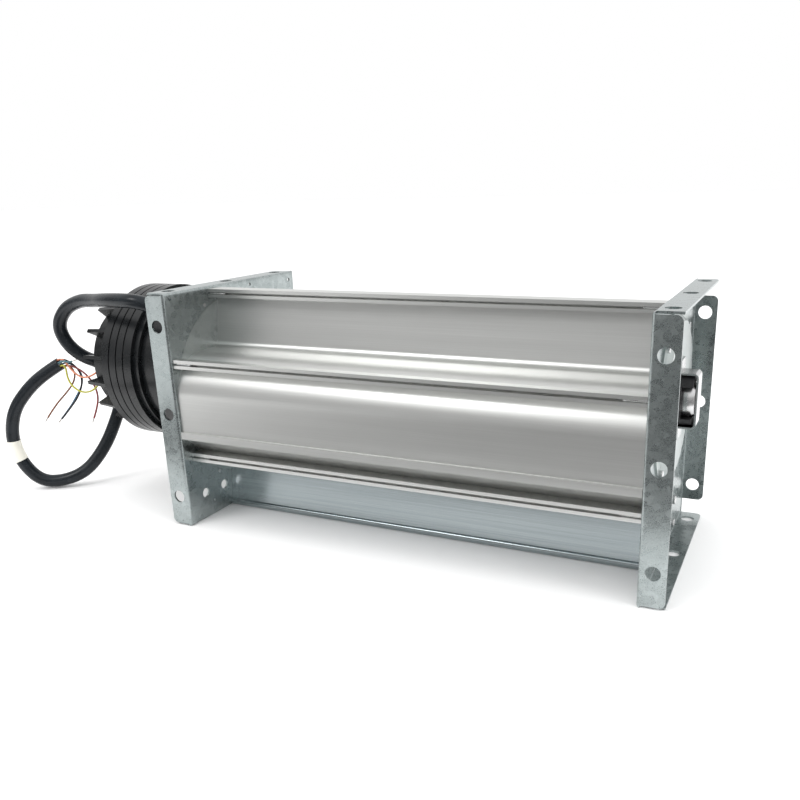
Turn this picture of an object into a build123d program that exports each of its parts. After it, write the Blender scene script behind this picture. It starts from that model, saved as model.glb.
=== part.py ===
"""Cross flow fan: folded end plates, extruded scroll, bladed impeller and external rotor motor.

X runs along the impeller, Y from the front of the plates to the rear, Z up.
The origin is the middle of the bottom bolt pattern, on the plates' underside.
"""
from build123d import *
import math
import os

# ---- end plates: one sheet each, folded outwards on four sides
web_gap = 344.0
plate_height = 180.0
plate_depth = 165.0
plate_sheet = 1.5
flange_width = 17.1
bend_radius = 2.0
front_flange_inset = 1.0
rear_flange_inset = 12.0
flange_corner_radius = 4.0
flange_hole_radius = 4.8
flange_hole_reach = 8.8
hole_pitch = 66.0
bottom_pitch = 66.5
front_pattern_height = 90.0

# ---- impeller and its axis
axis_height = 112.0
impeller_radius = 32.5
impeller_end_gap = 4.0
blade_count = 24
blade_inner_radius = 24.0
blade_sheet = 0.9
blade_sweep = 16.0
blade_camber = 1.9
blade_tip_inset = 0.4
ring_sheet = 1.6
ring_count = 4
ring_inner_radius = 22.5
end_disc_sheet = 2.0
end_hub_radius = 11.0
end_hub_length = 16.0
shaft_radius = 5.0
fit_clearance = 0.03
running_clearance = 0.05

# ---- extruded front shell with its screw channels
wall = 1.6
tongue_gap = 2.0
tongue_angle = 143.9
tongue_round = 5.0
scroll_round = 31.0
shell_setback = 2.5
panel_top_setback = 60.8
channel_height = 6.5
channel_depth = 7.0
channel_bore = 1.65
channel_slot = 1.7
top_channel_setback = 49.0
top_channel_below_top = 5.4
mid_channel_setback = 2.0
mid_channel_drop = 4.8
nose_depth = 3.0
nose_height = 5.5
nose_centre_height = 73.9
lip_channel_setback = 10.6
lip_channel_depth = 13.5
lip_height = 54.0
recess_round = 2.0

# ---- folded outlet sheet under the lip
duct_sheet = 1.2
duct_lip_setback = 13.9
duct_step_setback = 58.0
duct_round = 10.0
duct_foot_setback = 51.7
duct_foot_height = 5.8
hem_radius = 3.0

# ---- rear guide that parts the inlet from the outlet
guide_sheet = 1.8
guide_gap = 2.5
guide_angle = -50.0
guide_foot_setback = 113.0
guide_foot_height = 4.0
guide_channel_height = 28.0
guide_foot_channel_height = 9.0

# ---- screws
screw_radius = 1.5
screw_head_radius = 3.2
screw_head_height = 2.2
screw_length = 16.0
bracket_screw_length = 12.0
dish_screw_length = 6.0
screw_hole_radius = 1.7

# ---- motor side: cover disc, static bracket, stator and outer rotor
cover_setback = 77.0
cover_height = 98.5
cover_radius = 72.8
cover_seam = 0.25
cover_sheet = 2.7
cover_lip = 1.0
cover_lip_sheet = 1.2
cover_bore = 16.0
bracket_radius = 57.0
bracket_neck_radius = 42.0
bracket_neck = 16.0
bracket_flange = 16.0
tube_radius = 14.0
tube_bore = 11.0
motor_bearing_width = 8.0
rotor_gap = 3.0
rotor_radius = 64.0
rotor_length = 56.0
rotor_band = 34.0
rotor_step_radius = 61.0
rotor_step = 5.0
rotor_collar_radius = 57.5
rotor_wall = 5.0
rotor_end_wall = 6.0
groove_depth = 1.0
groove_width = 1.2
rotor_hub_radius = 48.0
rotor_hub_length = 22.0
fin_count = 16
fin_length = 25.0
fin_tip_radius = 56.0
fin_root_radius = 62.0
fin_sheet = 3.0
stator_radius = 50.0
stator_length = 22.0
bracket_screw_circle = 34.0
bracket_screw_count = 4
bracket_screw_turn = 10.0
motor_shaft_grip = 8.0
gland_wall = 1.0

# ---- bearing side: dished disc, rubber ring, bush and strap
dish_radius = 53.0
dish_screw_turn = 45.0
dish_rim = 8.0
dish_rise = 3.5
dish_sheet = 1.2
dish_bore = 9.0
dish_screw_count = 4
bush_radius = 12.5
bush_length = 10.5
bush_end_wall = 1.2
rubber_radius = 17.0
rubber_length = 9.4
rubber_window = 12.0
strap_width = 16.0
strap_sheet = 1.2
strap_foot = 8.0

# ---- supply cable
cable_diameter = 11.0
gland_radius = 8.0
gland_length = 12.0
gland_angle = 138.0
gland_seat = 7.0
label_length = 22.0
label_sheet = 0.4
wire_diameter = 1.6
wire_circle = 3.6
wire_spread = 2.4

front = -plate_depth / 2
web_outer = web_gap / 2 + plate_sheet
axis_point = Vector(0, 0, axis_height)
tongue_reach = impeller_radius + tongue_gap + wall
tongue_y = tongue_reach * math.cos(math.radians(tongue_angle))
tongue_z = axis_height + tongue_reach * math.sin(math.radians(tongue_angle))
top_channel_z = plate_height - top_channel_below_top
mid_channel_z = tongue_z - mid_channel_drop
shell_y = front + shell_setback
guide_reach = impeller_radius + guide_gap
guide_y = guide_reach * math.cos(math.radians(guide_angle))
guide_z = axis_height + guide_reach * math.sin(math.radians(guide_angle))
impeller_length = web_gap - 2 * impeller_end_gap
cage_length = impeller_length - 2 * end_disc_sheet

# ---- stations along the motor, all on the outer side of the motor plate
cover_face = -(web_outer + cover_lip_sheet)
bracket_face = cover_face - bracket_neck
rotor_mouth = bracket_face - bracket_flange - rotor_gap
rotor_face = rotor_mouth - rotor_length


def drum(radius, x_from, x_to, y=0.0, z=axis_height):
    """Solid cylinder along X between two stations."""
    start = min(x_from, x_to)
    disc = Plane.YZ.offset(start) * Pos(y, z) * Circle(radius)
    return extrude(disc, abs(x_to - x_from))


def ring(outer, inner, x_from, x_to, y=0.0, z=axis_height):
    """Cylinder along X with a bore."""
    return drum(outer, x_from, x_to, y, z) - drum(inner, x_from - 1, x_to + 1, y, z)


def block(y_from, y_to, z_from, z_to):
    """Rectangle in a cross section."""
    return Pos((y_from + y_to) / 2, (z_from + z_to) / 2) * Rectangle(y_to - y_from, z_to - z_from)


def band(points, radii, thickness, side=Side.LEFT):
    """Wall section of even thickness along a rounded line."""
    with BuildSketch() as section:
        with BuildLine():
            FilletPolyline(*points, radius=radii)
            offset(amount=thickness, side=side)
        make_face()
    return section.sketch


def channel(y_front, depth, z, facing=-1):
    """Screw channel: a block with a bore and a slot that opens to the front or the rear."""
    y_back = y_front - facing * depth
    low, high = min(y_front, y_back), max(y_front, y_back)
    bore_y = y_front - facing * channel_height / 2
    body = block(low, high, z - channel_height / 2, z + channel_height / 2)
    slot = block(*sorted((y_front + facing, bore_y)), z - channel_slot / 2, z + channel_slot / 2)
    return body - Pos(bore_y, z) * Circle(channel_bore) - slot


def along_fan(section, length=web_gap):
    """Extrude a cross section between the plates' inner faces."""
    return extrude(Plane.YZ.offset(-length / 2) * section, length)


# ---- places of the screw channels' bores: (y, z) and the way their slots face
half_channel = channel_height / 2
guide_foot_y = front + guide_foot_setback
guide_lean = (guide_foot_y - guide_y) / (guide_z - guide_foot_height)
guide_channels = [
    (guide_foot_y - guide_lean * (z - guide_foot_height) + guide_sheet + channel_depth, z)
    for z in (guide_channel_height, guide_foot_channel_height)
]
channel_bores = [
    (front + top_channel_setback + half_channel, top_channel_z),
    (front + mid_channel_setback + half_channel, mid_channel_z),
    (front + lip_channel_setback + half_channel, lip_height),
    *[(y - half_channel, z) for y, z in guide_channels],
]


def side_plate(bearing_side):
    """End plate folded from one sheet, with open corners and bolt holes in its flanges."""
    height_centre = plate_height / 2
    outer = Pos(flange_width / 2, 0, height_centre) * Box(flange_width, plate_depth, plate_height)
    outer = fillet(outer.edges().group_by(Axis.X)[0], bend_radius)
    hollow = Pos(plate_sheet + flange_width / 2, 0, height_centre) * Box(
        flange_width, plate_depth - 2 * plate_sheet, plate_height - 2 * plate_sheet
    )
    hollow = fillet(hollow.edges().group_by(Axis.X)[0], bend_radius - plate_sheet)
    plate = outer - hollow
    for z_end, toward in ((0.0, 1), (plate_height, -1)):
        for y_end, inset in ((front, front_flange_inset), (-front, rear_flange_inset)):
            reach = Box(flange_width, 2 * (plate_sheet + bend_radius), 2 * inset)
            plate -= Pos(bend_radius + flange_width / 2, y_end, z_end) * reach
            notch = Box(flange_width, 2 * bend_radius + 1, 2 * plate_sheet + 0.2)
            plate -= Pos(bend_radius + flange_width / 2, y_end, z_end) * notch
    corners = [
        edge for edge in plate.edges().group_by(Axis.X)[-1]
        if abs(edge.length - plate_sheet) < 0.01
    ]
    plate = fillet(corners, flange_corner_radius)
    hole = Cylinder(flange_hole_radius, 4 * plate_sheet)
    for step in (-1, 0, 1):
        front_z = front_pattern_height + step * hole_pitch
        for y_end in (front, -front):
            plate -= Pos(flange_hole_reach, y_end, front_z) * Rot(90, 0, 0) * hole
        for z_end in (0.0, plate_height):
            plate -= Pos(flange_hole_reach, step * bottom_pitch, z_end) * hole
    plate = Pos(web_gap / 2, 0, 0) * plate
    for y, z in channel_bores:
        plate -= drum(screw_hole_radius, web_gap / 2 - 1, web_outer + 1, y, z)
    for y, z, radius in web_holes:
        plate -= drum(radius, web_gap / 2 - 1, web_outer + 1, y, z)
    if bearing_side:
        opening = dish_radius - dish_sheet - 2
        plate -= drum(opening, web_gap / 2 - 1, web_outer + 1)
        for y, z in dish_screw_places:
            plate -= drum(screw_hole_radius, web_gap / 2 - 1, web_outer + 1, y, z)
        return plate
    plate -= drum(cover_radius, web_gap / 2 - 1, web_outer + 1, front + cover_setback, cover_height)
    for y, z in cover_screw_places:
        plate -= drum(screw_hole_radius, web_gap / 2 - 1, web_outer + 1, y, z)
    return mirror(plate, Plane.YZ)


# ---- plain holes in both webs: (y, z, radius)
web_holes = [
    (front + 6.9, plate_height - 4.6, 1.3),
    (front + 101.8, plate_height - 4.6, 1.2),
    (front + 157.2, plate_height - 7.0, 1.6),
    (front + 20.5, 21.0, 3.8),
    (front + 43.2, 20.5, 3.8),
    (front + 7.7, 41.0, 0.9),
    (front + 29.7, 11.4, 0.9),
]


def circle_places(radius, count, start, y=0.0, z=axis_height):
    """Even places on a circle in the Y-Z plane."""
    turns = [math.radians(start + 360 * index / count) for index in range(count)]
    return [(y + radius * math.cos(turn), z + radius * math.sin(turn)) for turn in turns]


cover_y = front + cover_setback
cover_grip = cover_radius + screw_head_radius - 0.6
cover_screw_places = [
    (
        cover_y + cover_grip * math.cos(math.radians(turn)),
        cover_height + cover_grip * math.sin(math.radians(turn)),
    )
    for turn in (116, 55, -38, -120)
]
dish_screw_circle = dish_radius + dish_sheet / 2 + screw_head_radius + 0.2
dish_screw_places = circle_places(dish_screw_circle, dish_screw_count, dish_screw_turn)
bracket_screw_places = circle_places(bracket_screw_circle, bracket_screw_count, bracket_screw_turn)


def front_shell():
    """Extrusion from the inlet edge over the tongue and the quarter round to the lip."""
    recess_foot = (front + lip_channel_setback + lip_channel_depth - wall, lip_height + half_channel - wall)
    line = [
        (front + panel_top_setback, top_channel_z + half_channel),
        (tongue_y, tongue_z),
        (shell_y, tongue_z),
        (shell_y, nose_centre_height - nose_height / 2 + wall),
        recess_foot,
    ]
    section = band(line, [tongue_round, scroll_round, recess_round], wall)
    top_depth = panel_top_setback - top_channel_setback + wall / 2
    section += channel(front + top_channel_setback, top_depth, top_channel_z)
    section += channel(front + mid_channel_setback, channel_depth, mid_channel_z)
    web_reach = mid_channel_setback + channel_depth
    round_drop = tongue_z - scroll_round - (mid_channel_z - half_channel + wall / 2)
    round_run = scroll_round - math.sqrt(scroll_round**2 - round_drop**2)
    section += block(
        front + web_reach - 1,
        shell_y + round_run + wall,
        mid_channel_z - half_channel,
        mid_channel_z - half_channel + wall,
    )
    nose_low = nose_centre_height - nose_height / 2
    section += block(shell_y - nose_depth / 2, shell_y + nose_depth / 2, nose_low, nose_low + nose_height)
    section += channel(front + lip_channel_setback, lip_channel_depth, lip_height)
    return along_fan(section)


def outlet_sheet():
    """Folded sheet below the lip, stepping back and down to a rolled hem."""
    top = lip_height - half_channel
    line = [
        (front + duct_lip_setback, top),
        (front + duct_step_setback, top),
        (front + duct_foot_setback, duct_foot_height),
    ]
    section = band(line, [duct_round], duct_sheet, Side.RIGHT)
    roll = Pos(front + duct_foot_setback, hem_radius + 0.2)
    section += roll * Circle(hem_radius)
    section -= roll * Circle(hem_radius - duct_sheet)
    return along_fan(section)


def rear_guide():
    """Extrusion behind the impeller, with a rounded edge close to the blades."""
    line = [(guide_y, guide_z), (guide_foot_y, guide_foot_height)]
    with BuildSketch() as strip:
        with BuildLine():
            Polyline(*line)
            offset(amount=guide_sheet, side=Side.LEFT)
        make_face()
    section = strip.sketch + Pos(guide_y + guide_sheet / 2, guide_z) * Circle(guide_sheet / 2)
    for y, z in guide_channels:
        section += channel(y, channel_depth + guide_sheet / 2, z, 1)
    return along_fan(section)


def blade():
    """One forward curved blade section, from the inner to the outer blade circle."""
    tip = impeller_radius - blade_tip_inset
    turn = math.radians(blade_sweep)
    start = Vector(blade_inner_radius, 0)
    end = Vector(tip * math.cos(turn), tip * math.sin(turn))
    chord = end - start
    middle = (start + end) / 2 + Vector(chord.Y, -chord.X).normalized() * blade_camber
    with BuildSketch() as section:
        with BuildLine():
            ThreePointArc(start, middle, end)
            offset(amount=blade_sheet, side=Side.LEFT)
        make_face()
    return section.sketch


def impeller_cage():
    """Blades and the rings that hold them, as one welded piece."""
    centre = Plane.YZ.offset(-cage_length / 2) * Pos(0, axis_height)
    rib = blade()
    blades = [
        extrude(centre * Rot(0, 0, 360 * index / blade_count) * rib, cage_length)
        for index in range(blade_count)
    ]
    pitch = cage_length / (ring_count + 1)
    rings = [
        ring(
            impeller_radius,
            ring_inner_radius,
            -cage_length / 2 + pitch * (index + 1) - ring_sheet / 2,
            -cage_length / 2 + pitch * (index + 1) + ring_sheet / 2,
        )
        for index in range(ring_count)
    ]
    return rings[0].fuse(*rings[1:], *blades)


def end_disc(way):
    """Impeller end disc with a hub that grips its stub shaft; way is -1 or 1 along X."""
    inner = way * cage_length / 2
    disc = drum(impeller_radius, inner, way * impeller_length / 2)
    disc += drum(end_hub_radius, inner + way * 0.5, inner - way * end_hub_length)
    return disc - drum(shaft_radius + fit_clearance, inner - way * 2 * end_hub_length, way * (web_gap / 2))


def cover_disc():
    """Round cover whose inner face closes the motor plate's opening flush."""
    face = -web_gap / 2
    plug = drum(cover_radius - cover_seam, face, face - cover_sheet, cover_y, cover_height)
    lip = drum(cover_radius + cover_lip, -web_outer, cover_face, cover_y, cover_height)
    cover = plug + lip - drum(cover_bore, face + 1, cover_face - 1)
    for y, z in bracket_screw_places:
        cover -= drum(screw_hole_radius, face + 1, cover_face - 1, y, z)
    return cover


def motor_bracket():
    """Static bracket: neck, flange, bearing tube and a seat for the cable gland."""
    flange_face = bracket_face - bracket_flange
    tube_end = rotor_face + rotor_end_wall + rotor_gap
    body = drum(bracket_neck_radius, cover_face, bracket_face)
    body += drum(bracket_radius, bracket_face, flange_face)
    body += drum(tube_radius, flange_face, tube_end)
    body -= drum(tube_bore, cover_face + 1, tube_end - 1)
    for y, z in bracket_screw_places:
        body -= drum(screw_radius + fit_clearance, cover_face + 1, cover_face - screw_length, y, z)
    return body - gland_frame * Pos(0, 0, gland_seat / 2) * Cylinder(gland_radius + fit_clearance, gland_seat)


gland_turn = math.radians(gland_angle)
gland_way = Vector(0, math.cos(gland_turn), math.sin(gland_turn))
gland_root = axis_point + gland_way * (bracket_radius - gland_seat)
gland_x = bracket_face - bracket_flange / 2
gland_frame = Plane(
    origin=(gland_x, gland_root.Y, gland_root.Z),
    x_dir=(1, 0, 0),
    z_dir=gland_way,
)


def rotor():
    """Outer rotor: a grooved cup with a hub and pointed cooling fins on its closed end."""
    band_start = rotor_face + rotor_band
    step_end = band_start + rotor_step
    inner = rotor_radius - rotor_wall
    profile = [
        (rotor_face, shaft_radius + fit_clearance),
        (rotor_face, rotor_radius - 3),
        (rotor_face + 3, rotor_radius),
        (band_start, rotor_radius),
        (band_start, rotor_step_radius),
        (step_end, rotor_step_radius),
        (step_end, rotor_collar_radius),
        (rotor_mouth, rotor_collar_radius),
        (rotor_mouth, rotor_collar_radius - rotor_wall),
        (step_end - rotor_wall, rotor_collar_radius - rotor_wall),
        (step_end - rotor_wall, inner - 3),
        (rotor_face + rotor_end_wall, inner - 3),
        (rotor_face + rotor_end_wall, shaft_radius + fit_clearance),
    ]
    outline = make_face(Polyline(*profile, close=True))
    cup = Pos(0, 0, axis_height) * revolve(outline, Axis.X)
    for share in (0.3, 0.52, 0.74):
        station = rotor_face + share * rotor_band
        cup -= ring(rotor_radius + 1, rotor_radius - groove_depth, station, station + groove_width)
    hub = drum(rotor_hub_radius, rotor_face, rotor_face - rotor_hub_length)
    hub -= drum(rotor_hub_radius - rotor_wall, rotor_face - 3, rotor_face - rotor_hub_length - 1)
    cup += hub - drum(shaft_radius + fit_clearance, rotor_face + 1, rotor_face - rotor_hub_length - 1)
    fin_line = make_face(
        Polyline(
            (rotor_face + 1, rotor_hub_radius - 1),
            (rotor_face + 1, fin_root_radius - 3),
            (rotor_face, fin_root_radius - 3),
            (rotor_face - fin_length, fin_tip_radius),
            (rotor_face - rotor_hub_length + 2, rotor_hub_radius - 1),
            close=True,
        )
    )
    fin = extrude(Plane.XY * fin_line, fin_sheet / 2, both=True)
    fins = [
        Pos(0, 0, axis_height) * Rot(360 * (index + 0.5) / fin_count + 0.75, 0, 0) * fin
        for index in range(fin_count)
    ]
    return cup.fuse(*fins)


def stator():
    """Wound stator core on the bearing tube."""
    middle = (rotor_face + rotor_end_wall + step_inside) / 2
    half = stator_length / 2
    return ring(stator_radius, tube_radius + fit_clearance, middle - half, middle + half)


step_inside = rotor_face + rotor_band + rotor_step - rotor_wall


def motor_shaft():
    """Stub shaft fixed in the rotor; it drives the motor side end disc."""
    return drum(shaft_radius, rotor_face - motor_shaft_grip, -cage_length / 2 + end_hub_length - 1)


def motor_bearings():
    """Two ball bearings inside the bearing tube, as plain rings."""
    tube_end = rotor_face + rotor_end_wall + rotor_gap
    inner = shaft_radius + running_clearance
    outer = tube_bore - fit_clearance
    first = ring(outer, inner, tube_end + 1, tube_end + 1 + motor_bearing_width)
    second = ring(outer, inner, bracket_face - motor_bearing_width, bracket_face)
    return Compound([*first.solids(), *second.solids()])


def pan_screw(x_seat, way, y, z, length=screw_length):
    """Pan head screw seated at x_seat, its shank running along way."""
    head = drum(screw_head_radius, x_seat, x_seat - way * screw_head_height, y, z)
    rim = head.edges().filter_by(GeomType.CIRCLE).sort_by(Axis.X)[0 if way > 0 else -1]
    head = fillet(rim, screw_head_height / 3)
    return head + drum(screw_radius, x_seat, x_seat + way * length, y, z)


def channel_screws():
    """Screws through both plates into the extrusions' channels."""
    screws = [pan_screw(way * web_outer, -way, y, z) for way in (-1, 1) for y, z in channel_bores]
    return Compound([solid for screw in screws for solid in screw.solids()])


def cover_screws():
    """Screws whose heads hold the cover disc's lip on the motor plate."""
    seat = cover_face
    screws = [pan_screw(seat, 1, y, z, cover_lip_sheet + plate_sheet - 0.1) for y, z in cover_screw_places]
    return Compound([solid for screw in screws for solid in screw.solids()])


def bracket_screws():
    """Screws through the cover disc into the motor bracket."""
    screws = [pan_screw(-web_gap / 2, -1, y, z, bracket_screw_length) for y, z in bracket_screw_places]
    return Compound([solid for screw in screws for solid in screw.solids()])


def dish_screws():
    """Screws that hold the bearing dish on its plate."""
    seat = web_outer + dish_sheet
    screws = [pan_screw(seat, -1, y, z, dish_screw_length) for y, z in dish_screw_places]
    return Compound([solid for screw in screws for solid in screw.solids()])


def bearing_dish():
    """Dished disc outside the bearing plate, raised round the shaft."""
    rim = web_outer
    raised = rim + dish_rise
    profile = [
        (rim, dish_radius + dish_rim),
        (rim, dish_radius),
        (raised, dish_radius - dish_rise),
        (raised, dish_bore),
        (raised + dish_sheet, dish_bore),
        (raised + dish_sheet, dish_radius - dish_rise + dish_sheet / 2),
        (rim + dish_sheet, dish_radius + dish_sheet / 2),
        (rim + dish_sheet, dish_radius + dish_rim),
    ]
    dish = Pos(0, 0, axis_height) * revolve(make_face(Polyline(*profile, close=True)), Axis.X)
    for y, z in dish_screw_places:
        dish -= drum(screw_hole_radius, rim - 1, rim + dish_rise + 1, y, z)
    return dish


dish_face = web_outer + dish_rise + dish_sheet
strap_inner = dish_face + bush_length + 0.4


def bearing_bush():
    """Ball shaped bush, flat at both ends, with a blind bore for the stub shaft."""
    middle = dish_face + bush_length / 2 + 0.1
    ball = Pos(middle, 0, axis_height) * Sphere(bush_radius)
    slab = Pos(middle, 0, axis_height) * Box(bush_length, 3 * bush_radius, 3 * bush_radius)
    bore_end = middle + bush_length / 2 - bush_end_wall
    return (ball & slab) - drum(shaft_radius + running_clearance, dish_face - 2, bore_end)


def rubber_ring():
    """Rubber ring round the bush, cut open at the front and the rear."""
    start = dish_face + 0.1
    middle = dish_face + bush_length / 2 + 0.1
    body = drum(rubber_radius, start, start + rubber_length)
    body -= Pos(middle, 0, axis_height) * Sphere(bush_radius + fit_clearance)
    body -= drum(dish_bore, start - 1, start + rubber_length + 1)
    window = Box(rubber_length, 3 * rubber_radius, 2 * rubber_window - 3)
    return body - Pos(start + 2.5 + rubber_length / 2, 0, axis_height) * window


def bearing_strap():
    """Strap bent over the rubber ring, with its feet on the dish."""
    reach = rubber_radius + 0.1
    line = [
        (dish_face, reach + strap_sheet + strap_foot),
        (dish_face, reach),
        (strap_inner, reach),
        (strap_inner, -reach),
        (dish_face, -reach),
        (dish_face, -reach - strap_sheet - strap_foot),
    ]
    with BuildSketch(Plane.XZ) as section:
        with BuildLine():
            FilletPolyline(*line, radius=[0.5, 2.0, 2.0, 0.5])
            offset(amount=strap_sheet, side=Side.LEFT)
        make_face()
    strap = extrude(section.sketch, strap_width / 2, both=True)
    return Pos(0, 0, axis_height) * strap


def bearing_shaft():
    """Stub shaft from the bearing side end disc into the bush."""
    bore_end = dish_face + bush_length + 0.1 - bush_end_wall
    return drum(shaft_radius, cage_length / 2 - end_hub_length + 1, bore_end - 0.5)


def cable_gland():
    """Tapered gland in the bracket, round the cable's first stretch."""
    body = Cylinder(gland_radius, gland_seat, align=(Align.CENTER, Align.CENTER, Align.MIN))
    mouth = cable_diameter / 2 + gland_wall
    taper = Cone(gland_radius, mouth, gland_length, align=(Align.CENTER, Align.CENTER, Align.MIN))
    return gland_frame * (body + Pos(0, 0, gland_seat) * taper)


# ---- the cable's route, from the gland's mouth to the end of its sheath
gland_mouth = gland_frame.origin + gland_way * (gland_seat + gland_length)
cable_points = [
    tuple(gland_mouth),
    tuple(gland_mouth + gland_way * gland_length),
    (-211, -69, 172),
    (-229, -68, 172),
    (-248, -64, 171),
    (-268, -56, 169),
    (-288, -51, 168),
    (-308, -50, 161),
    (-320, -50, 146),
    (-318, -46, 130),
    (-311, -38, 118),
    (-304, -25, 110),
    (-304, -9, 98),
    (-307, -3, 78),
    (-311, -12, 55),
    (-316, -25, 32),
    (-326, -40, 13),
    (-343, -52, 5.8),
    (-359, -62, 7),
    (-371, -68, 23),
    (-376, -71, 46),
    (-370, -69, 72),
    (-356, -62, 91),
    (-342, -54, 104),
    (-330, -46, 112),
]


def tube(points, diameter, name):
    """Round tube along straight runs joined by arcs as large as the runs allow."""
    corners = [Vector(point) for point in points]
    radii = []
    for before, here, after in zip(corners, corners[1:], corners[2:]):
        turn = (here - before).get_angle(after - here)
        run = min((here - before).length, (after - here).length)
        radii.append(0.45 * run / math.tan(math.radians(max(turn, 1.0) / 2)))
    path = FilletPolyline(*corners, radius=radii)
    print(name, "length %.0f, radii" % path.length, [round(radius) for radius in radii])
    section = Plane(origin=path @ 0, z_dir=path % 0) * Circle(diameter / 2)
    solid = sweep(section, path)
    share = solid.volume / (math.pi * diameter**2 / 4 * path.length)
    print(name, "volume against section times length %.4f" % share)
    return solid, path


def cable_label(path):
    """Blank sleeve round the cable, on the left of its loop."""
    start = path.length * 0.775
    line = path.trim(start / path.length, (start + label_length) / path.length)
    plane = Plane(origin=line @ 0, z_dir=line % 0)
    outer = sweep(plane * Circle(cable_diameter / 2 + label_sheet), line)
    return outer - sweep(plane * Circle(cable_diameter / 2), line)


# ---- the wires beyond the sheath: each starts on a small circle round the sheath's end
sheath_end = Vector(*cable_points[-1])
sheath_way = (sheath_end - Vector(*cable_points[-2])).normalized()
wire_fan = Vector(0.41, -0.86, 0.31)
wire_routes = {
    "blue_wire": [(13, 7, -6), (14, 8, -18), (9, 6, -29), (3, 4, -40), (-4, 1, -50)],
    "brown_wire": [(10, 4, -7), (8, 5, -17), (1, 4, -27), (-8, 0, -38), (-14, -3, -49)],
    "black_wire": [(15, 4, -4), (17, 6, -16), (14, 4, -28), (8, 1, -38), (0, -2, -49)],
    "red_wire": [(16, 8, -6), (24, 12, -16), (28, 15, -28), (28, 14, -39), (25, 12, -50)],
    "pink_wire": [(9, 7, -8), (17, 11, -15), (26, 15, -12), (33, 18, -4), (36, 20, 5)],
    "green_wire": [(8, 3, -17), (17, 8, -27), (27, 12, -26), (34, 16, -16), (37, 19, -5)],
    "teal_wire": [(9, 4, 0), (12, 6, 1)],
}


def wire_points(index, route):
    """A wire's route from its place in the sheath's end; each wire keeps to its own layer."""
    face = Plane(origin=sheath_end, x_dir=wire_fan - sheath_way * wire_fan.dot(sheath_way), z_dir=sheath_way)
    layer = index - (len(wire_routes) - 1) / 2
    share = 2 * layer / (len(wire_routes) - 1)
    across = math.sqrt(1 - share**2) * (1 if index % 2 else -1)
    start = face.from_local_coords(Vector(wire_circle * share, wire_circle * across))
    points = [start, start + sheath_way * 5]
    for step in route:
        flat = Vector(*step) - wire_fan * wire_fan.dot(Vector(*step))
        points.append(sheath_end + flat + wire_fan * wire_spread * layer)
    return points


def export(name, shape):
    """Write one named piece."""
    export_step(shape, os.path.join("parts", name + ".step"))


def main():
    os.makedirs("parts", exist_ok=True)
    export("motor_side_plate", side_plate(False))
    export("bearing_side_plate", side_plate(True))
    export("front_shell", front_shell())
    export("outlet_sheet", outlet_sheet())
    export("rear_guide", rear_guide())
    export("impeller_cage", impeller_cage())
    export("motor_end_disc", end_disc(-1))
    export("bearing_end_disc", end_disc(1))
    export("motor_shaft", motor_shaft())
    export("bearing_shaft", bearing_shaft())
    export("cover_disc", cover_disc())
    export("motor_bracket", motor_bracket())
    export("motor_bearings", motor_bearings())
    export("stator", stator())
    export("rotor", rotor())
    export("channel_screws", channel_screws())
    export("cover_screws", cover_screws())
    export("bracket_screws", bracket_screws())
    export("dish_screws", dish_screws())
    export("bearing_dish", bearing_dish())
    export("bearing_bush", bearing_bush())
    export("rubber_ring", rubber_ring())
    export("bearing_strap", bearing_strap())
    export("cable_gland", cable_gland())
    cable, cable_path = tube(cable_points, cable_diameter, "cable")
    export("cable", cable)
    export("cable_label", cable_label(cable_path))
    for index, (name, route) in enumerate(wire_routes.items()):
        wire, _ = tube(wire_points(index, route), wire_diameter, name)
        export(name, wire)


main()
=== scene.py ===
"""Looks of the cross flow fan: zinc plates, drawn aluminium, black motor, cable and wires.

Every rigid piece is a cleaned copy of its CAD node with its own procedural finish. The cable, its
blank label and the wires are modelled here. Lengths are in metres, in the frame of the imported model.
"""

import logging
import math
from dataclasses import dataclass, field
from enum import Enum

import bmesh
import bpy
from mathutils import Matrix, Vector


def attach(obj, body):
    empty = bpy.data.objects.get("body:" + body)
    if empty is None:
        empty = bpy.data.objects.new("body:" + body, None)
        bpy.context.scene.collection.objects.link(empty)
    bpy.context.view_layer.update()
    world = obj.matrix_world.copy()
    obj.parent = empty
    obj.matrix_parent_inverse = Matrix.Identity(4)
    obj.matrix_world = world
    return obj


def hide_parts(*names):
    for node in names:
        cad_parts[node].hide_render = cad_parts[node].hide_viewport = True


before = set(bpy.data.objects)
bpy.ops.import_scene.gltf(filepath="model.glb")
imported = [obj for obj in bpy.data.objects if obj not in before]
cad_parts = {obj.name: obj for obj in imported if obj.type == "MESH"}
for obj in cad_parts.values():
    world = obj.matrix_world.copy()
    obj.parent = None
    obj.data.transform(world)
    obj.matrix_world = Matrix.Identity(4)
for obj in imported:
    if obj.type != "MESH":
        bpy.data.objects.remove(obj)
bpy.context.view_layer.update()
LOG = logging.getLogger("fan")
MILLIMETRE = 0.001
SHORTEST_CORD = 0.03
MERGE_DISTANCE = 2e-6
CLOUD_DARKENING = 0.75
WIRE_LEAD = 0.005
THICK_CORD = 0.002


class Body(Enum):
    """The two rigid bodies of the fan."""

    HOUSING = "housing"
    IMPELLER = "impeller"


class Group(Enum):
    """Names of the shared shader node groups."""

    SPANGLE = "spangle"
    DRAWN = "drawn_lines"
    GRAIN = "fine_grain"


# ---------------------------------------------------------------- shader helpers


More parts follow.
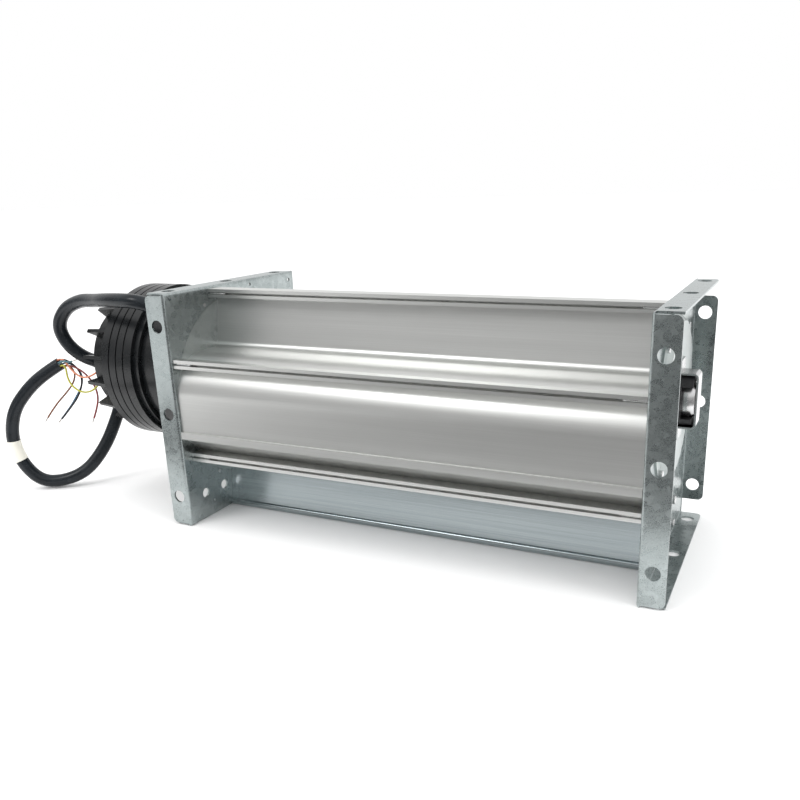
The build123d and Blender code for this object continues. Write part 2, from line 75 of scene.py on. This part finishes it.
def new_group(name: str, inputs: dict[str, float], outputs: dict[str, str]) -> bpy.types.ShaderNodeTree:
    """Start a shader node group.

    Args:
        name: The group's name.
        inputs: Float inputs by name, with their defaults.
        outputs: Output names, with their socket types.

    Returns:
        The new node tree, with its input and output nodes.
    """
    tree = bpy.data.node_groups.new(name, "ShaderNodeTree")
    for label, value in inputs.items():
        socket = tree.interface.new_socket(label, in_out="INPUT", socket_type="NodeSocketFloat")
        socket.default_value = value
    for label, kind in outputs.items():
        tree.interface.new_socket(label, in_out="OUTPUT", socket_type=kind)
    tree.nodes.new("NodeGroupInput").name = "in"
    tree.nodes.new("NodeGroupOutput").name = "out"
    return tree


MASK_ENDS = (0.3, 0.7)
CRYSTAL_SHARE = 0.3
CLOUD_SHARE = 0.8
SPANGLE_ENDS = (0.7, 1.45)


def place(tree: bpy.types.NodeTree, kind: str, **values: object) -> bpy.types.Node:
    """Add a node and set its plain values.

    Args:
        tree: The tree that gets the node.
        kind: The node's type.
        **values: Input socket values, with underscores for spaces.

    Returns:
        The new node.
    """
    node = tree.nodes.new(kind)
    for label, value in values.items():
        node.inputs[label.replace("_", " ")].default_value = value
    return node


def stretched_noise(
    tree: bpy.types.NodeTree, stretch: tuple[float, float, float], scale: float, detail: float
) -> bpy.types.Node:
    """Noise on object coordinates, stretched along chosen axes.

    Args:
        tree: The tree that gets the nodes.
        stretch: Factor on each axis.
        scale: Scale of the noise.
        detail: Its octaves.

    Returns:
        The noise node.
    """
    coordinates = tree.nodes.new("ShaderNodeTexCoord")
    mapping = place(tree, "ShaderNodeMapping", Scale=stretch)
    noise = place(tree, "ShaderNodeTexNoise", Scale=scale, Detail=detail, Roughness=0.55)
    tree.links.new(coordinates.outputs["Object"], mapping.inputs["Vector"])
    tree.links.new(mapping.outputs["Vector"], noise.inputs["Vector"])
    return noise


def ranged(tree: bpy.types.NodeTree, source: bpy.types.NodeSocket, low: float, high: float) -> bpy.types.Node:
    """Map a 0 to 1 value onto another range.

    Args:
        tree: The tree that gets the node.
        source: The value to map.
        low: Result at the first of MASK_ENDS.
        high: Result at the second of MASK_ENDS.

    Returns:
        The map range node.
    """
    node = place(tree, "ShaderNodeMapRange")
    for index, value in enumerate((*MASK_ENDS, low, high), start=1):
        node.inputs[index].default_value = value
    tree.links.new(source, node.inputs[0])
    return node


def build_spangle() -> bpy.types.ShaderNodeTree:
    """Zinc spangle: soft crystals with fine grain over them.

    Returns:
        A group that puts out Mask, a 0 to 1 value, and Height for bump.
    """
    outputs = {"Mask": "NodeSocketFloat", "Height": "NodeSocketFloat"}
    tree = new_group(Group.SPANGLE.value, {"Crystal": 260.0, "Grain": 1500.0}, outputs)
    entry, leave = tree.nodes["in"], tree.nodes["out"]
    coordinates = tree.nodes.new("ShaderNodeTexCoord")
    crystal = place(tree, "ShaderNodeTexVoronoi", Randomness=1.0)
    grain = place(tree, "ShaderNodeTexNoise", Detail=3.0, Roughness=0.6)
    cloud = place(tree, "ShaderNodeTexNoise", Scale=22.0, Detail=4.0, Roughness=0.55)
    for node in (crystal, grain, cloud):
        tree.links.new(coordinates.outputs["Object"], node.inputs["Vector"])
    tree.links.new(entry.outputs["Crystal"], crystal.inputs["Scale"])
    tree.links.new(entry.outputs["Grain"], grain.inputs["Scale"])
    shade = tree.nodes.new("ShaderNodeSeparateColor")
    tree.links.new(crystal.outputs["Color"], shade.inputs["Color"])
    total = tree.nodes.new("ShaderNodeMath")
    total.operation = "MULTIPLY_ADD"
    total.inputs[1].default_value = CRYSTAL_SHARE
    tree.links.new(shade.outputs[0], total.inputs[0])
    tree.links.new(grain.outputs["Fac"], total.inputs[2])
    mixed = tree.nodes.new("ShaderNodeMath")
    mixed.operation = "MULTIPLY_ADD"
    mixed.inputs[1].default_value = CLOUD_SHARE
    tree.links.new(cloud.outputs["Fac"], mixed.inputs[0])
    tree.links.new(total.outputs[0], mixed.inputs[2])
    scaled = tree.nodes.new("ShaderNodeMapRange")
    scaled.inputs[1].default_value, scaled.inputs[2].default_value = SPANGLE_ENDS
    tree.links.new(mixed.outputs[0], scaled.inputs[0])
    tree.links.new(scaled.outputs[0], leave.inputs["Mask"])
    tree.links.new(grain.outputs["Fac"], leave.inputs["Height"])
    return tree


def build_drawn() -> bpy.types.ShaderNodeTree:
    """Die lines that run along the fan, fine and coarse.

    Returns:
        A group that puts out Mask and Height.
    """
    outputs = {"Mask": "NodeSocketFloat", "Height": "NodeSocketFloat"}
    tree = new_group(Group.DRAWN.value, {"Coarse": 0.35}, outputs)
    entry, leave = tree.nodes["in"], tree.nodes["out"]
    fine = stretched_noise(tree, stretch=(0.004, 1.0, 1.0), scale=2200.0, detail=2.0)
    coarse = stretched_noise(tree, stretch=(0.01, 1.0, 1.0), scale=240.0, detail=3.0)
    blend = tree.nodes.new("ShaderNodeMix")
    tree.links.new(entry.outputs["Coarse"], blend.inputs[0])
    tree.links.new(fine.outputs["Fac"], blend.inputs[2])
    tree.links.new(coarse.outputs["Fac"], blend.inputs[3])
    spread = ranged(tree, blend.outputs[0], low=0.0, high=1.0)
    tree.links.new(spread.outputs[0], leave.inputs["Mask"])
    tree.links.new(fine.outputs["Fac"], leave.inputs["Height"])
    return tree


def build_grain() -> bpy.types.ShaderNodeTree:
    """Fine even grain with soft clouds, for paint, rubber and plastic.

    Returns:
        A group that puts out Mask and Height.
    """
    outputs = {"Mask": "NodeSocketFloat", "Height": "NodeSocketFloat"}
    tree = new_group(Group.GRAIN.value, {"Grain": 1800.0}, outputs)
    entry, leave = tree.nodes["in"], tree.nodes["out"]
    coordinates = tree.nodes.new("ShaderNodeTexCoord")
    grain = place(tree, "ShaderNodeTexNoise", Detail=2.0)
    cloud = place(tree, "ShaderNodeTexNoise", Scale=60.0, Detail=4.0)
    for node in (grain, cloud):
        tree.links.new(coordinates.outputs["Object"], node.inputs["Vector"])
    tree.links.new(entry.outputs["Grain"], grain.inputs["Scale"])
    spread = ranged(tree, cloud.outputs["Fac"], low=0.0, high=1.0)
    tree.links.new(spread.outputs[0], leave.inputs["Mask"])
    tree.links.new(grain.outputs["Fac"], leave.inputs["Height"])
    return tree


@dataclass(frozen=True)
class Finish:
    """One surface finish, built as a Principled material over a shared group."""

    name: str
    slot: str
    group: Group
    low: tuple[float, float, float]
    high: tuple[float, float, float]
    rough_low: float
    rough_high: float
    metallic: float = 0.0
    bump: float = 0.1
    bump_distance: float = 0.0001
    coat: float = 0.0
    specular: float = 0.5

    def material(self) -> bpy.types.Material:
        """Build the material once, and return it afterwards.

        Returns:
            The finish's material.
        """
        title = f"finish_{self.name}"
        known = bpy.data.materials.get(title)
        if known is not None:
            return known
        material = bpy.data.materials.new(title)
        material.use_nodes = True
        tree = material.node_tree
        shader = tree.nodes["Principled BSDF"]
        shader.inputs["Metallic"].default_value = self.metallic
        shader.inputs["Coat Weight"].default_value = self.coat
        shader.inputs["Specular IOR Level"].default_value = self.specular
        pattern = tree.nodes.new("ShaderNodeGroup")
        pattern.node_tree = bpy.data.node_groups[self.group.value]
        colour = tree.nodes.new("ShaderNodeMix")
        colour.data_type = "RGBA"
        colour.inputs[6].default_value = (*self.low, 1.0)
        colour.inputs[7].default_value = (*self.high, 1.0)
        tree.links.new(pattern.outputs["Mask"], colour.inputs[0])
        tree.links.new(colour.outputs[2], shader.inputs["Base Color"])
        rough = tree.nodes.new("ShaderNodeMapRange")
        rough.inputs[3].default_value = self.rough_low
        rough.inputs[4].default_value = self.rough_high
        tree.links.new(pattern.outputs["Mask"], rough.inputs[0])
        tree.links.new(rough.outputs[0], shader.inputs["Roughness"])
        bump = tree.nodes.new("ShaderNodeBump")
        bump.inputs["Strength"].default_value = self.bump
        bump.inputs["Distance"].default_value = self.bump_distance
        tree.links.new(pattern.outputs["Height"], bump.inputs["Height"])
        tree.links.new(bump.outputs["Normal"], shader.inputs["Normal"])
        return material


ZINC = Finish(
    name="zinc_sheet",
    slot="galvanised",
    group=Group.SPANGLE,
    low=(0.27, 0.305, 0.305),
    high=(0.5, 0.545, 0.545),
    rough_low=0.22,
    rough_high=0.38,
    metallic=1.0,
    bump=0.08,
    bump_distance=5e-05,
)
ROLLED = Finish(
    name="zinc_sheet_rolled",
    slot="galvanised",
    group=Group.DRAWN,
    low=(0.25, 0.285, 0.295),
    high=(0.42, 0.465, 0.48),
    rough_low=0.16,
    rough_high=0.26,
    metallic=1.0,
    bump=0.03,
    bump_distance=3e-05,
)
ALUMINIUM = Finish(
    name="drawn_aluminium",
    slot="extrusion",
    group=Group.DRAWN,
    low=(0.66, 0.665, 0.65),
    high=(0.72, 0.725, 0.71),
    rough_low=0.34,
    rough_high=0.4,
    metallic=1.0,
    bump=0.02,
    bump_distance=2e-05,
)
VANES = Finish(
    name="rolled_aluminium",
    slot="impeller_metal",
    group=Group.DRAWN,
    low=(0.52, 0.53, 0.53),
    high=(0.6, 0.61, 0.61),
    rough_low=0.3,
    rough_high=0.38,
    metallic=1.0,
    bump=0.03,
    bump_distance=2e-05,
)
STEEL = Finish(
    name="bright_steel",
    slot="bright_steel",
    group=Group.GRAIN,
    low=(0.55, 0.56, 0.56),
    high=(0.7, 0.7, 0.7),
    rough_low=0.18,
    rough_high=0.3,
    metallic=1.0,
    bump=0.05,
)
MOTOR = Finish(
    name="black_satin_paint",
    slot="black_motor",
    group=Group.GRAIN,
    low=(0.006, 0.007, 0.008),
    high=(0.012, 0.013, 0.014),
    rough_low=0.24,
    rough_high=0.32,
    metallic=0.0,
    bump=0.05,
    specular=0.38,
)
CORE = Finish(
    name="laminated_core",
    slot="stator_core",
    group=Group.GRAIN,
    low=(0.12, 0.11, 0.1),
    high=(0.2, 0.18, 0.16),
    rough_low=0.5,
    rough_high=0.6,
    metallic=0.8,
)
HOOD = Finish(
    name="zinc_sheet_bright",
    slot="galvanised",
    group=Group.SPANGLE,
    low=(0.4, 0.44, 0.435),
    high=(0.56, 0.6, 0.59),
    rough_low=0.26,
    rough_high=0.38,
    metallic=1.0,
    bump=0.05,
    bump_distance=5e-05,
)
RUBBER = Finish(
    name="moulded_rubber",
    slot="rubber",
    group=Group.GRAIN,
    low=(0.012, 0.012, 0.013),
    high=(0.02, 0.02, 0.022),
    rough_low=0.4,
    rough_high=0.55,
)
SHEATH = Finish(
    name="cable_sheath",
    slot="cable_sheath",
    group=Group.GRAIN,
    low=(0.008, 0.01, 0.012),
    high=(0.016, 0.02, 0.024),
    rough_low=0.2,
    rough_high=0.32,
    metallic=0.0,
    bump=0.1,
    specular=0.25,
)
PAPER = Finish(
    name="blank_label",
    slot="label",
    group=Group.GRAIN,
    low=(0.72, 0.7, 0.62),
    high=(0.82, 0.8, 0.72),
    rough_low=0.5,
    rough_high=0.6,
)
TINNED = Finish(
    name="tinned_copper",
    slot="bright_steel",
    group=Group.GRAIN,
    low=(0.55, 0.5, 0.46),
    high=(0.72, 0.68, 0.64),
    rough_low=0.3,
    rough_high=0.4,
    metallic=1.0,
)


def insulation(name: str, slot: str, colour: tuple[float, float, float]) -> Finish:
    """Coloured wire insulation, slightly darker in its clouds.

    Args:
        name: The finish's name.
        slot: The material slot it shows.
        colour: The insulation's colour.

    Returns:
        The finish.
    """
    dark = tuple(CLOUD_DARKENING * part for part in colour)
    return Finish(name, slot, Group.GRAIN, dark, colour, 0.3, 0.42)


# ---------------------------------------------------------------- rigid pieces


def cleaned_copy(node: str, crease: float) -> bpy.types.Object:
    """Copy a CAD node, merge its loose triangles and smooth it up to a crease angle.

    Args:
        node: The CAD node's name.
        crease: Edges that turn by more than this many degrees stay sharp.

    Returns:
        The new object.
    """
    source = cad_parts[node]
    shape = bmesh.new()
    shape.from_mesh(source.data)
    bmesh.ops.remove_doubles(shape, verts=shape.verts, dist=MERGE_DISTANCE)
    limit = math.radians(crease)
    for face in shape.faces:
        face.smooth = True
    for edge in shape.edges:
        edge.smooth = len(edge.link_faces) == 2 and edge.calc_face_angle(0.0) < limit
    mesh = bpy.data.meshes.new(f"{node}_finished")
    shape.to_mesh(mesh)
    shape.free()
    piece = bpy.data.objects.new(f"{node}_finished", mesh)
    bpy.context.collection.objects.link(piece)
    return piece


@dataclass
class RigidSet:
    """CAD nodes that share a body and a finish."""

    label: str
    nodes: tuple[str, ...]
    body: Body
    finish: Finish
    crease: float = 30.0

    def build(self) -> list[bpy.types.Object]:
        """Copy, dress and mount each node.

        Returns:
            The finished pieces.
        """
        pieces = []
        for node in self.nodes:
            piece = cleaned_copy(node, self.crease)
            piece.data.materials.append(self.finish.material())
            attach(piece, self.body.value)
            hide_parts(node)
            LOG.info("%s: %s, %d faces", self.label, piece.name, len(piece.data.polygons))
            pieces.append(piece)
        return pieces


# ---------------------------------------------------------------- cable and wires


def curve_piece(name: str, points: list[Vector], radius: float) -> bpy.types.Object:
    """Round smooth line with the points as its control points.

    Args:
        name: The piece's name.
        points: Control points.
        radius: Half the line's thickness.

    Returns:
        The curve object.
    """
    curve = bpy.data.curves.new(name, "CURVE")
    curve.dimensions = "3D"
    curve.resolution_u = 12
    curve.bevel_depth = radius
    curve.bevel_resolution = 6 if radius > THICK_CORD else 2
    curve.use_fill_caps = True
    spline = curve.splines.new("NURBS")
    spline.points.add(len(points) - 1)
    for spot, point in zip(spline.points, points):
        spot.co = (*point, 1.0)
    spline.order_u = 3
    spline.use_endpoint_u = True
    piece = bpy.data.objects.new(name, curve)
    bpy.context.collection.objects.link(piece)
    return piece


def centre_line(piece: bpy.types.Object) -> list[Vector]:
    """Read the points that a curve's own smooth line runs through.

    Args:
        piece: A curve object.

    Returns:
        Points along the line.
    """
    bare = piece.data.copy()
    bare.bevel_depth = 0.0
    holder = bpy.data.objects.new("bare_line", bare)
    bpy.context.collection.objects.link(holder)
    mesh = bpy.data.meshes.new_from_object(holder)
    line = [vertex.co.copy() for vertex in mesh.vertices]
    bpy.data.objects.remove(holder)
    bpy.data.curves.remove(bare)
    bpy.data.meshes.remove(mesh)
    return line


def line_length(line: list[Vector]) -> float:
    """Length of a run of points."""
    return sum((b - a).length for a, b in zip(line, line[1:]))


def stretch_of(line: list[Vector], start: float, end: float) -> list[Vector]:
    """Points of a line between two distances from its start.

    Args:
        line: Points along the line.
        start: The first distance.
        end: The second distance.

    Returns:
        The points between them.
    """
    kept, travelled = [], 0.0
    for before, here in zip(line, line[1:]):
        travelled += (here - before).length
        if start <= travelled <= end:
            kept.append(here)
    return kept


@dataclass
class SupplyCable:
    """The motor's cable, its blank label and the wires beyond its sheath."""

    diameter: float = 0.011
    wire_diameter: float = 0.0016
    wire_circle: float = 0.0036
    wire_spread: float = 0.0024
    label_start: float = 0.775
    label_length: float = 0.022
    label_sheet: float = 0.0004
    tip_length: float = 0.004
    tip_radius: float = 0.0005
    fan_way: Vector = field(default_factory=lambda: Vector((0.41, -0.86, 0.31)))
    exit: tuple[float, float, float] = (-198.7, -51.276, 158.169)
    route: tuple[tuple[float, float, float], ...] = (
        (-198.7, -60.194, 166.198),
        (-211, -69, 172),
        (-229, -68, 172),
        (-248, -64, 171),
        (-268, -56, 169),
        (-288, -51, 168),
        (-308, -50, 161),
        (-320, -50, 146),
        (-318, -46, 130),
        (-311, -38, 118),
        (-304, -25, 110),
        (-304, -9, 98),
        (-307, -3, 78),
        (-311, -12, 55),
        (-316, -25, 32),
        (-326, -40, 13),
        (-343, -52, 5.8),
        (-359, -62, 7),
        (-371, -68, 23),
        (-376, -71, 46),
        (-370, -69, 72),
        (-356, -62, 91),
        (-342, -54, 104),
        (-330, -46, 112),
    )

    def points(self) -> list[Vector]:
        """The route's points in metres."""
        return [Vector(point) * MILLIMETRE for point in (self.exit, *self.route)]

    def label(self, line: list[Vector], total: float) -> bpy.types.Object:
        """Blank sleeve that follows the cable.

        Args:
            line: The cable's smooth line.
            total: Its length.

        Returns:
            The sleeve.
        """
        start = self.label_start * total
        run = stretch_of(line, start, start + self.label_length)
        return curve_piece("cable_label_sleeve", run, self.diameter / 2 + self.label_sheet)

    def wire_points(self, index: int, count: int, steps: list[tuple[float, float, float]]) -> list[Vector]:
        """Points of one wire, which keeps to its own layer.

        Args:
            index: The wire's place among the wires.
            count: How many wires there are.
            steps: Its route from the sheath's end, in millimetres.

        Returns:
            The points in metres.
        """
        last, end = self.points()[-2:]
        way = (end - last).normalized()
        across_x = (self.fan_way - way * self.fan_way.dot(way)).normalized()
        across_y = way.cross(across_x)
        layer = index - (count - 1) / 2
        share = 2 * layer / (count - 1)
        side = math.sqrt(1 - share**2) * (1 if index % 2 else -1)
        start = end + (across_x * share + across_y * side) * self.wire_circle
        points = [start, start + way * WIRE_LEAD]
        for step in steps:
            offset = Vector(step) * MILLIMETRE
            flat = offset - self.fan_way * self.fan_way.dot(offset)
            points.append(end + flat + self.fan_way * self.wire_spread * layer)
        return points

    def build(self) -> None:
        """Make the cable, its label and its wires."""
        cable = curve_piece("supply_cable", self.points(), self.diameter / 2)
        line = centre_line(cable)
        total = line_length(line)
        sleeve = self.label(line, total)
        for piece, finish, node in ((cable, SHEATH, "cable"), (sleeve, PAPER, "cable_label")):
            piece.data.materials.append(finish.material())
            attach(piece, Body.HOUSING.value)
            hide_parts(node)
        for index, wire in enumerate(WIRES):
            self.build_wire(index, wire)
        LOG.info("supply cable: %.3f m", total)

    def build_wire(self, index: int, wire: "Wire") -> list[bpy.types.Object]:
        """Make one wire and its bared tip.

        Args:
            index: The wire's place among the wires.
            wire: Its route and colour.

        Returns:
            The pieces that belong to the cable itself, as short wires do.
        """
        points = self.wire_points(index, len(WIRES), wire.steps)
        piece = curve_piece(f"{wire.node}_core", points, self.wire_diameter / 2)
        finish = insulation(f"{wire.node}_insulation", wire.slot, wire.colour)
        piece.data.materials.append(finish.material())
        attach(piece, Body.HOUSING.value)
        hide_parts(wire.node)
        tip = self.bared_tip(wire, points)
        total = line_length(centre_line(piece))
        LOG.info("%s: %.3f m", wire.node, total)
        if total < SHORTEST_CORD:
            return [piece, tip]
        return []

    def bared_tip(self, wire: "Wire", points: list[Vector]) -> bpy.types.Object:
        """Make the tinned copper that shows beyond a wire's insulation.

        Args:
            wire: The wire.
            points: Its points in metres.

        Returns:
            The tip.
        """
        end = points[-1]
        way = (end - points[-2]).normalized()
        run = [end - way * self.tip_radius, end + way * self.tip_length / 2, end + way * self.tip_length]
        tip = curve_piece(f"{wire.node}_tip", run, self.tip_radius)
        tip.data.materials.append(TINNED.material())
        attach(tip, Body.HOUSING.value)
        return tip


@dataclass(frozen=True)
class Wire:
    """One wire beyond the sheath: its CAD node, colour and steps from the sheath's end."""

    node: str
    slot: str
    colour: tuple[float, float, float]
    steps: list[tuple[float, float, float]]


WIRES = (
    Wire("blue_wire", "blue_core", (0.05, 0.16, 0.26),
         [(13, 7, -6), (14, 8, -18), (9, 6, -29), (3, 4, -40), (-4, 1, -50)]),
    Wire("brown_wire", "brown_core", (0.22, 0.09, 0.05),
         [(10, 4, -7), (8, 5, -17), (1, 4, -27), (-8, 0, -38), (-14, -3, -49)]),
    Wire("black_wire", "black_core", (0.015, 0.015, 0.018),
         [(15, 4, -4), (17, 6, -16), (14, 4, -28), (8, 1, -38), (0, -2, -49)]),
    Wire("red_wire", "red_core", (0.26, 0.05, 0.05),
         [(16, 8, -6), (24, 12, -16), (28, 15, -28), (28, 14, -39), (25, 12, -50)]),
    Wire("pink_wire", "pink_core", (0.75, 0.28, 0.16),
         [(9, 7, -8), (17, 11, -15), (26, 15, -12), (33, 18, -4), (36, 20, 5)]),
    Wire("green_wire", "green_core", (0.48, 0.46, 0.06),
         [(8, 3, -17), (17, 8, -27), (27, 12, -26), (34, 16, -16), (37, 19, -5)]),
    Wire("teal_wire", "teal_core", (0.06, 0.16, 0.19), [(9, 4, 0), (12, 6, 1)]),
)


# ---------------------------------------------------------------- studio


@dataclass
class Studio:
    """Pale floor, soft light, a grey wall and cloth that only reflections see, and the camera."""

    floor_size: float = 30.0
    floor_grey: float = 0.95
    wall_radius: float = 2.6
    wall_height: float = 1.25
    wall_facets: int = 48
    wall_rear_edge: float = -0.3
    wall_grey: float = 0.3
    cloth_place: tuple[float, float, float] = (0.5, -1.2, 0.001)
    cloth_reach: tuple[float, float] = (0.95, 1.0)
    cloth_grey: float = 0.15
    stage_roughness: float = 0.9
    stage_specular: float = 0.1
    even_light: float = 1.12
    lamps_aim: tuple[float, float, float] = (0.0, 0.0, 0.09)
    camera_place: Vector = field(default_factory=lambda: Vector((0.25121, -0.53412, 0.24811)))
    camera_way: Vector = field(default_factory=lambda: Vector((-0.40724, 0.85953, -0.30881)))
    camera_up: Vector = field(default_factory=lambda: Vector((-0.10535, 0.29165, 0.9507)))
    sensor_width: float = 36.0
    lens: float = 36.64
    clip_start: float = 0.01
    shift: tuple[float, float] = (-0.0394, 0.0629)

    def plain(self, name: str, grey: float) -> bpy.types.Material:
        """Plain grey stage material.

        Args:
            name: The material's name.
            grey: Its grey, from 0 to 1.

        Returns:
            The material.
        """
        material = bpy.data.materials.new(name)
        material.use_nodes = True
        shader = material.node_tree.nodes["Principled BSDF"]
        shader.inputs["Base Color"].default_value = (grey, grey, grey, 1.0)
        shader.inputs["Roughness"].default_value = self.stage_roughness
        shader.inputs["Specular IOR Level"].default_value = self.stage_specular
        return material

    def stage_piece(self, name: str, shape: bmesh.types.BMesh, paint: bpy.types.Material) -> bpy.types.Object:
        """Turn a shape into a piece of the studio.

        Args:
            name: The piece's name.
            shape: Its shape, which is freed.
            paint: Its material.

        Returns:
            The piece.
        """
        mesh = bpy.data.meshes.new(name)
        shape.to_mesh(mesh)
        shape.free()
        mesh.materials.append(paint)
        piece = bpy.data.objects.new(name, mesh)
        bpy.context.collection.objects.link(piece)
        return piece

    def reflected_only(self, piece: bpy.types.Object) -> None:
        """Hide a studio piece from everything but reflections."""
        piece.visible_camera = False
        piece.visible_diffuse = False
        piece.visible_shadow = False

    def floor(self) -> None:
        """Wide pale floor at the plates' underside."""
        shape = bmesh.new()
        bmesh.ops.create_grid(shape, x_segments=1, y_segments=1, size=self.floor_size / 2)
        self.stage_piece("floor", shape, self.plain("floor_paint", self.floor_grey))

    def walls(self) -> None:
        """Curved grey wall before the fan, open at the top and seen only in reflections."""
        shape = bmesh.new()
        bmesh.ops.create_cone(
            shape, cap_ends=False, segments=self.wall_facets, radius1=self.wall_radius,
            radius2=self.wall_radius, depth=self.wall_height,
            matrix=Matrix.Translation((0, 0, self.wall_height / 2)),
        )
        rear = [face for face in shape.faces if face.calc_center_median().y > self.wall_rear_edge]
        bmesh.ops.delete(shape, geom=rear, context="FACES")
        self.reflected_only(self.stage_piece("grey_wall", shape, self.plain("wall_paint", self.wall_grey)))

    def flag(self) -> None:
        """Dark cloth on the floor before the fan, seen only in reflections."""
        shape = bmesh.new()
        move = Matrix.Translation(self.cloth_place) @ Matrix.Diagonal((*self.cloth_reach, 1.0, 1.0))
        bmesh.ops.create_grid(shape, x_segments=1, y_segments=1, size=1.0, matrix=move)
        self.reflected_only(self.stage_piece("dark_cloth", shape, self.plain("cloth", self.cloth_grey)))

    def lamp(
        self, name: str, spot: tuple[float, float, float], size: float, watts: float, mirrored: bool = False
    ) -> None:
        """Square soft light aimed at the fan's middle.

        Args:
            name: The light's name.
            spot: Where it stands.
            size: The length of its sides.
            watts: Its power.
            mirrored: Whether the metal reflects it.
        """
        light = bpy.data.lights.new(name, "AREA")
        light.shape = "SQUARE"
        light.size = size
        light.energy = watts
        lamp = bpy.data.objects.new(name, light)
        bpy.context.collection.objects.link(lamp)
        lamp.location = spot
        aim = Vector(self.lamps_aim) - Vector(spot)
        lamp.rotation_euler = aim.to_track_quat("-Z", "Y").to_euler()
        lamp.visible_glossy = mirrored

    def world(self) -> None:
        """White background for the camera and reflections, and even light for the rest."""
        world = bpy.data.worlds.new("studio")
        bpy.context.scene.world = world
        world.use_nodes = True
        tree = world.node_tree
        shown = tree.nodes["Background"]
        shown.inputs["Color"].default_value = (1.0, 1.0, 1.0, 1.0)
        soft = tree.nodes.new("ShaderNodeBackground")
        soft.inputs["Color"].default_value = (1.0, 1.0, 1.0, 1.0)
        soft.inputs["Strength"].default_value = self.even_light
        path = tree.nodes.new("ShaderNodeLightPath")
        seen = tree.nodes.new("ShaderNodeMath")
        seen.operation = "ADD"
        tree.links.new(path.outputs["Is Camera Ray"], seen.inputs[0])
        tree.links.new(path.outputs["Is Glossy Ray"], seen.inputs[1])
        both = tree.nodes.new("ShaderNodeMath")
        both.operation = "ADD"
        both.use_clamp = True
        tree.links.new(seen.outputs[0], both.inputs[0])
        tree.links.new(path.outputs["Is Transmission Ray"], both.inputs[1])
        mix = tree.nodes.new("ShaderNodeMixShader")
        tree.links.new(both.outputs[0], mix.inputs[0])
        tree.links.new(soft.outputs[0], mix.inputs[1])
        tree.links.new(shown.outputs[0], mix.inputs[2])
        tree.links.new(mix.outputs[0], tree.nodes["World Output"].inputs["Surface"])

    def camera(self) -> None:
        """Camera at the viewing angle, kept as the scene's camera."""
        data = bpy.data.cameras.new("view")
        data.sensor_width = self.sensor_width
        data.lens = self.lens
        data.shift_x, data.shift_y = self.shift
        data.clip_start = self.clip_start
        camera = bpy.data.objects.new("view", data)
        bpy.context.collection.objects.link(camera)
        back = -self.camera_way.normalized()
        up = self.camera_up.normalized()
        right = up.cross(back).normalized()
        turn = Matrix((right, back.cross(right), back)).transposed().to_4x4()
        camera.matrix_world = Matrix.Translation(self.camera_place) @ turn
        bpy.context.scene.camera = camera

    def build(self) -> None:
        """Set up the whole studio."""
        self.floor()
        self.walls()
        self.flag()
        self.lamp("overhead", spot=(-0.2, -0.15, 1.7), size=1.3, watts=12.0)
        self.lamp("key", spot=(-0.8, -1.3, 1.5), size=0.7, watts=9.0, mirrored=True)
        self.lamp("side", spot=(1.7, -0.5, 0.9), size=0.6, watts=5.0)
        self.lamp("rear", spot=(0.5, 1.6, 1.2), size=0.9, watts=6.0)
        self.world()
        self.camera()
        bpy.context.scene.view_settings.view_transform = "Standard"


RIGID_SETS = (
    RigidSet("folded sheet", ("motor_side_plate", "bearing_side_plate"), Body.HOUSING, ZINC),
    RigidSet("outlet", ("outlet_sheet",), Body.HOUSING, ROLLED),
    RigidSet("discs", ("cover_disc", "bearing_dish"), Body.HOUSING, HOOD),
    RigidSet("extrusions", ("front_shell", "rear_guide"), Body.HOUSING, ALUMINIUM),
    RigidSet("impeller", ("impeller_cage", "motor_end_disc", "bearing_end_disc"), Body.IMPELLER, VANES),
    RigidSet("shafts", ("motor_shaft", "bearing_shaft"), Body.IMPELLER, STEEL),
    RigidSet("bright steel", ("channel_screws", "cover_screws", "bracket_screws", "dish_screws",
                              "bearing_bush", "bearing_strap", "motor_bearings"), Body.HOUSING, STEEL),
    RigidSet("rotor", ("rotor",), Body.IMPELLER, MOTOR),
    RigidSet("bracket", ("motor_bracket",), Body.HOUSING, MOTOR),
    RigidSet("stator", ("stator",), Body.HOUSING, CORE),
    RigidSet("rubber", ("rubber_ring", "cable_gland"), Body.HOUSING, RUBBER),
)


def main() -> None:
    """Build the studio, the cable and every rigid piece."""
    logging.basicConfig(level=logging.INFO, format="%(name)s: %(message)s")
    build_spangle()
    build_drawn()
    build_grain()
    Studio().build()
    SupplyCable().build()
    for rigid in RIGID_SETS:
        rigid.build()


if __name__ == "__main__":
    main()
